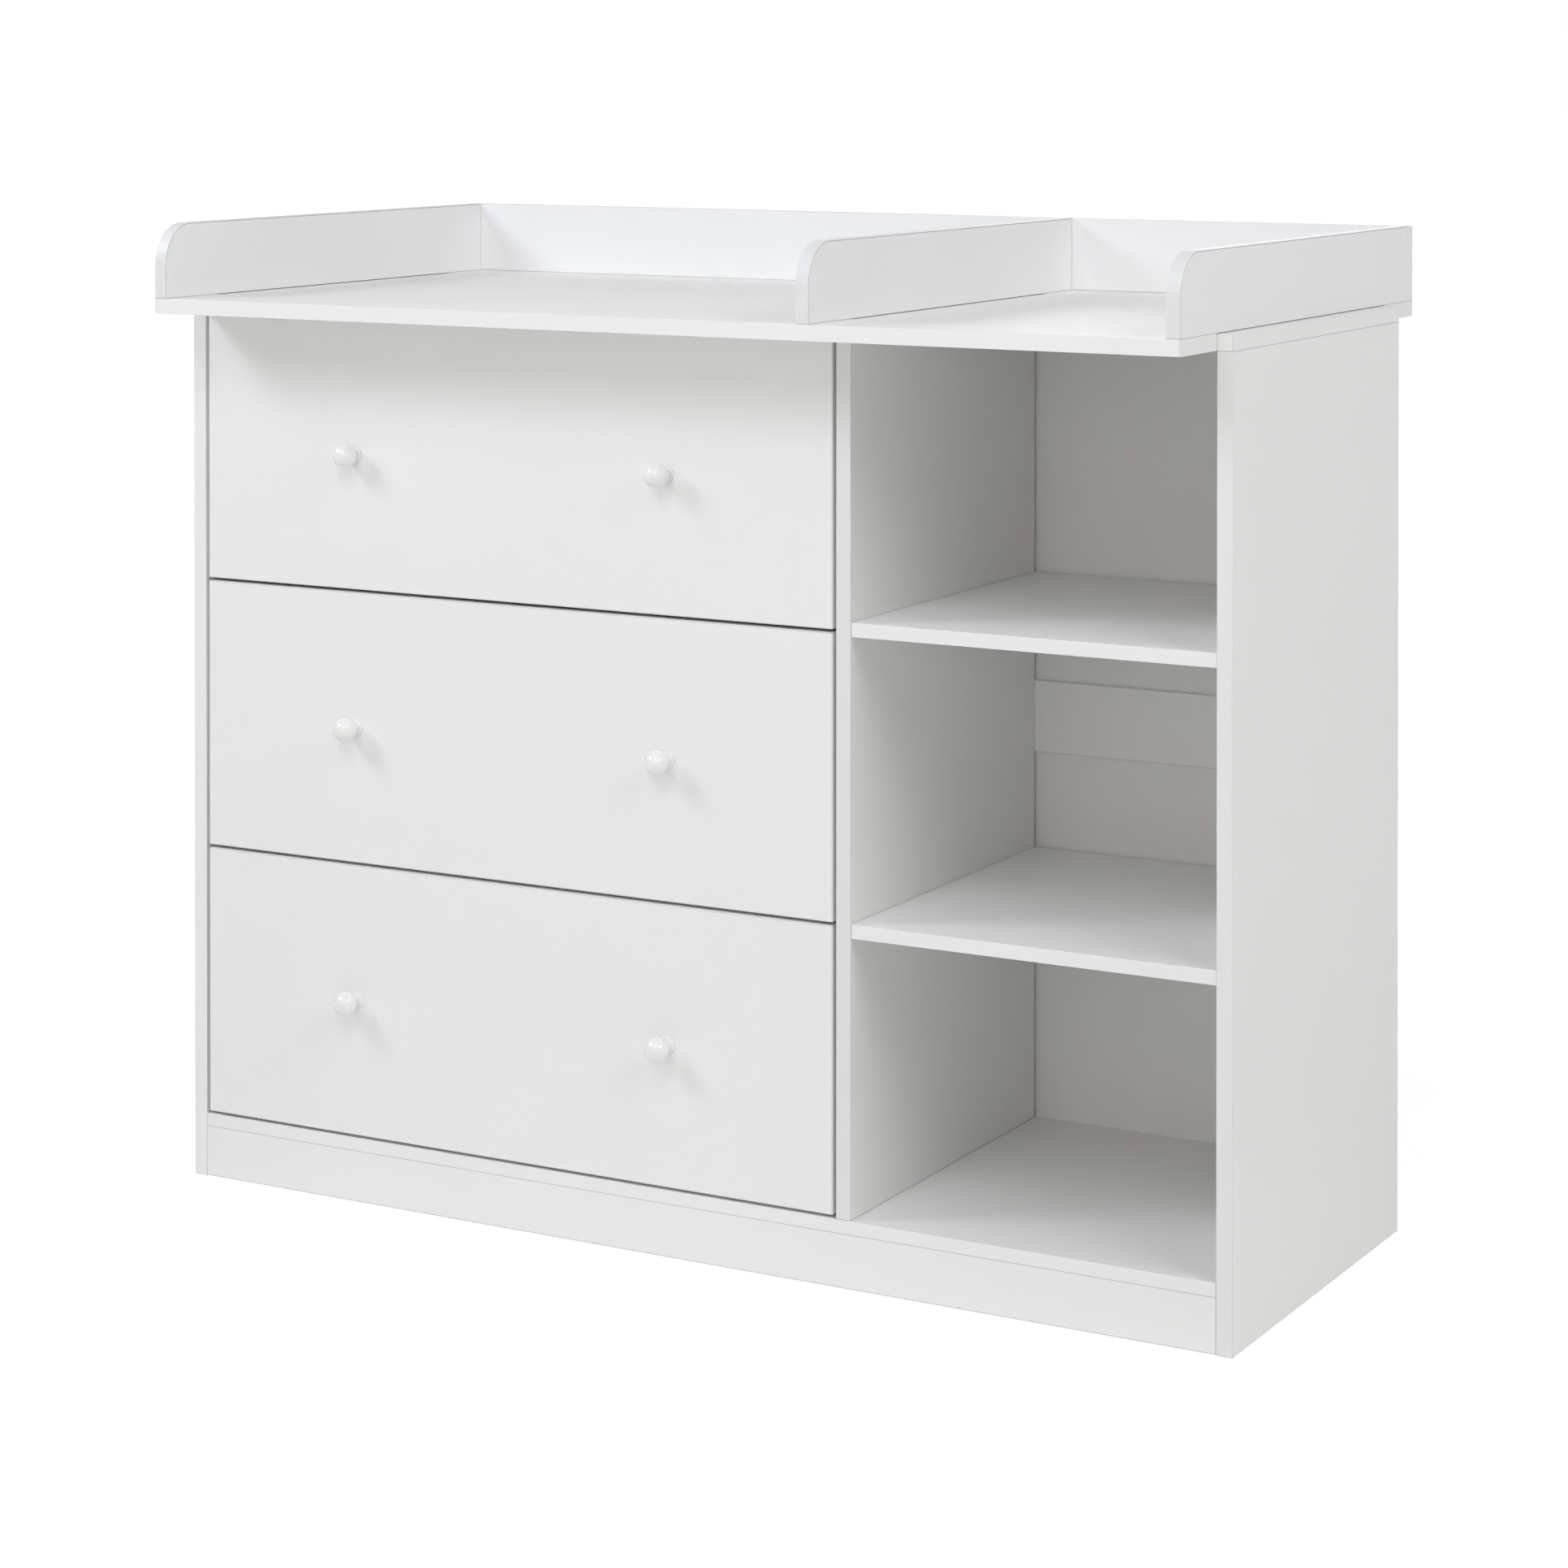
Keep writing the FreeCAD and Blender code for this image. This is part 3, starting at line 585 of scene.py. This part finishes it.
# Screws with cross recesses: knobs, runners and the changing attachment.
pan_head = [(2.0, 0.0), (4.0, 0.0), (4.0, 0.9), (3.7, 1.7), (2.9, 2.3), (2.5, 2.4)]
low_head = [(2.5, 0.0), (5.0, 0.0), (5.0, 0.4), (4.6, 1.1), (3.5, 1.5), (3.0, 1.6)]
sunk_head = [(2.0, -2.2), (4.0, 0.0), (3.9, 0.0)]
for number, name in DRAWERS.items():
    mesh = bmesh.new()
    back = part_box("drawer_%d_front" % number)[1].y
    for low, high in solid_boxes("drawer_%d_knob_screws" % number):
        middle = (low + high) / 2
        start = Vector((middle.x, back, middle.z))
        screw(mesh, start, (0, -1, 0), pan_head, shank_radius=2.0, length=26.5, arm=2.0)
    piece_from(mesh, "knob_screws_" + name, name + "_drawer", zinc,
               "drawer_%d_knob_screws" % number)

# A runner's screws go into the board beside it: the left side panel or the partition.
drawers_left, drawers_right = (corner.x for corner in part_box("drawer_1_front"))
drawers_middle = (drawers_left + drawers_right) / 2
mesh = bmesh.new()
head_height = low_head[-1][1] * MM
for low, high in solid_boxes("runner_screws"):
    middle = (low + high) / 2
    on_left = middle.x < drawers_middle
    foot = high.x - head_height if on_left else low.x + head_height
    start = Vector((foot, middle.y, middle.z))
    screw(mesh, start, (-1 if on_left else 1, 0, 0), low_head, shank_radius=2.4,
          length=10.8, arm=2.3)
piece_from(mesh, "runner_pan_screws", "cabinet", zinc, "runner_screws")

mesh = bmesh.new()
for low, high in solid_boxes("changing_screws"):
    middle = (low + high) / 2
    start = Vector((middle.x, middle.y, low.z))
    screw(mesh, start, (0, 0, 1), sunk_head, shank_radius=2.0, length=39.5, arm=2.2)
piece_from(mesh, "countersunk_screws", "cabinet", zinc, "changing_screws")

# Cam discs: a rim, a shallow face and a cross recess. Those in upright boards lie across
# X and open towards the inside of the cabinet, or for the partition towards the drawers.
cam_profile = [(0.0, -10.8), (7.4, -10.8), (7.4, -0.4), (7.1, -0.15), (7.1, 0.0),
               (6.3, 0.0), (6.1, -0.3)]
mesh = bmesh.new()
for low, high in solid_boxes("cam_locks"):
    size = high - low
    axis = min(range(3), key=lambda a: size[a])
    start = (low + high) / 2
    if axis == X:
        sign = 1 if start.x < drawers_middle else -1
    else:
        sign = -1 if axis == Z else 1
    start[axis] = high[axis] if sign > 0 else low[axis]
    place = along(start, AXES[axis] * sign)
    rings = turn_profile(mesh, cam_profile, place, sides=40)
    cross_recess(mesh, rings[-1], place, arm=3.2, half_width=0.9,
                 height=cam_profile[-1][1], depth=2.2)
piece_from(mesh, "cam_discs", "cabinet", zinc, "cam_locks")


def roller(mesh, low, high, radius):
    """Nylon roller: rounded tread, thin web, hub and five ribs on each side."""
    bore, hub, rim, width = 2.6, 4.3, radius - 1.8, (high.x - low.x) / MM
    tread = 0.5                  # rounding of the tread's edges
    hollow, draft = 1.1, 0.1     # depth of the web under the sides, and its walls' lean
    middle = (low + high) / 2
    place = along(Vector((low.x, middle.y, middle.z)), (1, 0, 0))
    near = [(bore, 0.0), (hub, 0.0), (hub + draft, hollow), (rim - draft, hollow),
            (rim, 0.0)]
    far = [(rim, width), (rim - draft, width - hollow), (hub + draft, width - hollow),
           (hub, width), (bore, width), (bore, 0.0)]
    tread_arcs = (arc_points(radius - tread, tread, tread, -90, 0, 4)
                  + arc_points(radius - tread, width - tread, tread, 0, 90, 4))
    turn_profile(mesh, near + tread_arcs + far, place, sides=56)
    count, sunk, overlap, thickness = 5, 0.2, 0.4, 0.9
    size = Vector((rim - hub + overlap, thickness, hollow)) * MM
    for side in (sunk, width - hollow - sunk):
        shift = Matrix.Translation(((hub + rim) / 2 * MM, 0, (side + hollow / 2) * MM))
        for rib in range(count):
            turn = Matrix.Rotation(2 * math.pi * rib / count, 4, "Z")
            bmesh.ops.create_cube(mesh, size=1.0, matrix=place @ turn @ shift
                                  @ Matrix.Diagonal(size.to_4d()))


for number, name in DRAWERS.items():
    for node, body, radius in (
            ("drawer_%d_rollers", "_drawer_rollers", 9.0),
            ("drawer_%d_cabinet_rollers", "_cabinet_rollers", 10.0)):
        mesh = bmesh.new()
        for low, high in solid_boxes(node % number):
            roller(mesh, low, high, radius)
        piece_from(mesh, "nylon" + body + "_" + name, name + body, nylon,
                   node % number)


# ---- floor, light and camera -----------------------------------------------------------
def seen_directly(tree):
    """1 for camera, glossy and transmission rays."""
    path = tree.nodes.new("ShaderNodeLightPath")
    seen = path.outputs["Is Camera Ray"]
    for kind in ("Is Glossy Ray", "Is Transmission Ray"):
        either = tree.nodes.new("ShaderNodeMath")
        either.operation = "MAXIMUM"
        tree.links.new(seen, either.inputs[0])
        tree.links.new(path.outputs[kind], either.inputs[1])
        seen = either.outputs[0]
    return seen


def floor_material():
    """A pale floor for the light that it throws back. Seen directly it is white, with the
    object's soft shadow kept: part of its brightness comes from the lamps and the rest is
    its own, which grows with the distance, where the lamps no longer reach."""
    pale = (0.95, 0.95, 0.94, 1.0)
    lit_part = (0.34, 0.34, 0.34, 1.0)
    glow_from, glow_to, least_glow, full_glow = 0.9, 2.0, 0.84, 1.0
    material = bpy.data.materials.new("floor")
    material.use_nodes = True
    tree = material.node_tree
    add, join = tree.nodes.new, tree.links.new
    tree.nodes.clear()
    plain = add("ShaderNodeBsdfDiffuse")
    plain.inputs["Color"].default_value = pale
    shaded = add("ShaderNodeBsdfDiffuse")
    shaded.inputs["Color"].default_value = lit_part
    distance = add("ShaderNodeVectorMath")
    distance.operation = "LENGTH"
    join(add("ShaderNodeTexCoord").outputs["Object"], distance.inputs[0])
    rise = add("ShaderNodeMapRange")
    join(distance.outputs["Value"], rise.inputs[0])
    for socket, value in zip(rise.inputs[1:5], (glow_from, glow_to, least_glow, full_glow)):
        socket.default_value = value
    glow = add("ShaderNodeEmission")
    join(rise.outputs[0], glow.inputs["Strength"])
    white = add("ShaderNodeAddShader")
    join(shaded.outputs[0], white.inputs[0])
    join(glow.outputs[0], white.inputs[1])
    mix = add("ShaderNodeMixShader")
    join(seen_directly(tree), mix.inputs[0])
    join(plain.outputs[0], mix.inputs[1])
    join(white.outputs[0], mix.inputs[2])
    join(mix.outputs[0], add("ShaderNodeOutputMaterial").inputs[0])
    return material


half = 30.0
floor_mesh = bpy.data.meshes.new("floor")
corners = [(-half, -half, 0), (half, -half, 0), (half, half, 0), (-half, half, 0)]
floor_mesh.from_pydata(corners, [], [(0, 1, 2, 3)])
floor = bpy.data.objects.new("floor", floor_mesh)
bpy.context.scene.collection.objects.link(floor)
floor_mesh.materials.append(floor_material())

# The world lights the object at its plain level, and is white where it is seen directly.
world = bpy.data.worlds.new("studio")
bpy.context.scene.world = world
world.use_nodes = True
tree = world.node_tree
sky = tree.nodes["Background"]
sky.inputs["Color"].default_value = (1, 1, 1, 1)
level = tree.nodes.new("ShaderNodeMix")
tree.links.new(seen_directly(tree), level.inputs[0])
level.inputs[2].default_value = WORLD_LEVEL
level.inputs[3].default_value = 1.0
tree.links.new(level.outputs[0], sky.inputs["Strength"])


def look(way):
    """The rotation of a lamp or camera that looks along way."""
    return way.to_track_quat("-Z", "Y").to_euler()


def lamp(name, place, aim, size, watts, tint):
    """A square soft lamp, its side in metres."""
    data = bpy.data.lights.new(name, "AREA")
    data.shape = "SQUARE"
    data.size = size
    data.energy = watts
    data.color = tint
    holder = bpy.data.objects.new(name, data)
    holder.location = place
    holder.rotation_euler = look(Vector(aim) - Vector(place))
    bpy.context.scene.collection.objects.link(holder)


# Name, place, aim, side, watts and tint.
lamp("key", (-1.95, -1.55, 2.3), (-0.1, -0.2, 0.6), 0.85, 22.5, COOL_LIGHT)
lamp("above", (0.35, -2.2, 2.55), (0.3, -0.2, 0.4), 1.2, 19.0, COOL_LIGHT)
lamp("front", (0.8, -4.6, 1.7), (0.0, 0.0, 0.5), 2.4, 24.5, WARM_LIGHT)
lamp("right", (3.4, -1.2, 3.2), (0.0, 0.0, 0.5), 2.2, 55.5, NEUTRAL_LIGHT)
lamp("rear", (3.8, 1.0, 1.6), (0.2, 0.0, 0.6), 2.2, 8.5, NEUTRAL_LIGHT)
lamp("behind", (-0.6, 4.2, 1.2), (0.0, 0.2, 0.5), 2.4, 30.0, NEUTRAL_LIGHT)

# The camera: its place, heading and framing follow the photograph's perspective.
yaw, pitch = math.radians(-29.1441), math.radians(-0.6289)
camera_data = bpy.data.cameras.new("camera")
camera_data.sensor_width = 36.0
camera_data.lens = 88.20
camera_data.shift_y = -0.4439
camera_data.clip_end = 100.0
camera = bpy.data.objects.new("camera", camera_data)
camera.location = (1.96163, -3.51139, 1.21421)
heading = Vector((math.sin(yaw) * math.cos(pitch), math.cos(yaw) * math.cos(pitch),
                  math.sin(pitch)))
camera.rotation_euler = look(heading)
bpy.context.scene.collection.objects.link(camera)
bpy.context.scene.camera = camera
bpy.context.scene.view_settings.view_transform = "Standard"
